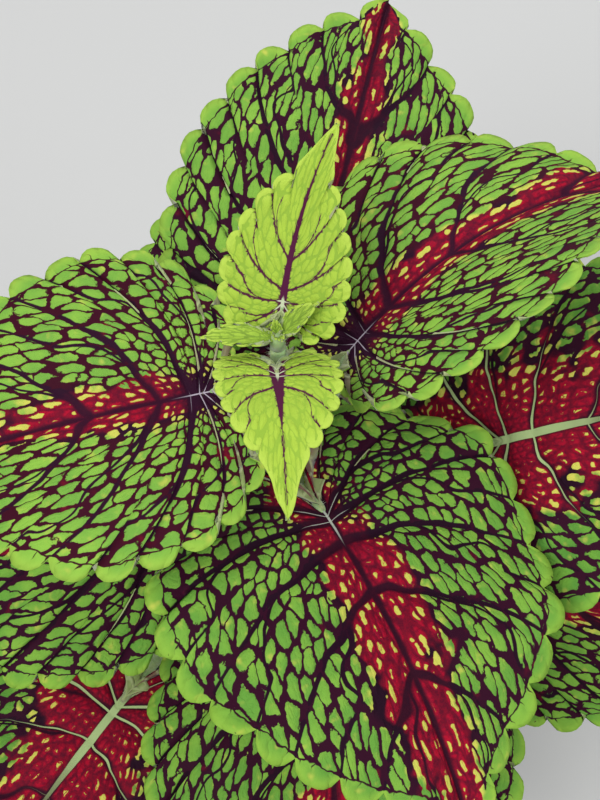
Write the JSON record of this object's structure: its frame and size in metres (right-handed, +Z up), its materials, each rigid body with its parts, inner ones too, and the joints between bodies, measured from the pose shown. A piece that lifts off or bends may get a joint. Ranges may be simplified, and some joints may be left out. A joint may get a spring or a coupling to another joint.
{
  "type": "potted coleus",
  "caption": "Upright potted coleus with crossed pairs of broad scalloped leaves on curved stalks, a square stem, side shoots, a pointed growing tip, soil and a tapered round nursery pot.",
  "frame": {"origin": "centre of the flat underside of the pot", "axes": "+Z up along the pot's axis and the stem's foot; -Y is the front, the side that the picture looks at"},
  "size_m": [0.2727, 0.2643, 0.2809],
  "materials": {
    "young_leaf": "soft velvety young leaf, lime green",
    "mature_leaf": "velvety leaf, lime cells in a dark purple net",
    "old_leaf": "velvety leaf, crimson centre, dark net and lime teeth",
    "stem": "pale green, finely hairy",
    "soil": "dark crumbly potting soil",
    "pot": "black moulded nursery pot"
  },
  "bodies": {
    "root": {"leaf_c_back": "young_leaf", "leaf_c_front": "young_leaf", "leaf_d_left": "mature_leaf", "leaf_d_right": "mature_leaf", "leaf_e_back": "mature_leaf", "leaf_e_front": "mature_leaf", "leaf_f_right": "old_leaf", "leaf_f_left": "mature_leaf", "leaf_g_back": "mature_leaf", "leaf_g_front": "mature_leaf", "leaf_h_right": "mature_leaf", "leaf_h_left": "old_leaf", "main_stem": "stem", "shoot_tip": "young_leaf", "side_shoot_e_front": "young_leaf", "side_shoot_e_back": "young_leaf", "side_shoot_f_right": "young_leaf", "side_shoot_f_left": "young_leaf", "side_shoot_g_front": "young_leaf", "side_shoot_g_back": "young_leaf", "soil": "soil", "pot": "pot"}
  },
  "joints": []
}
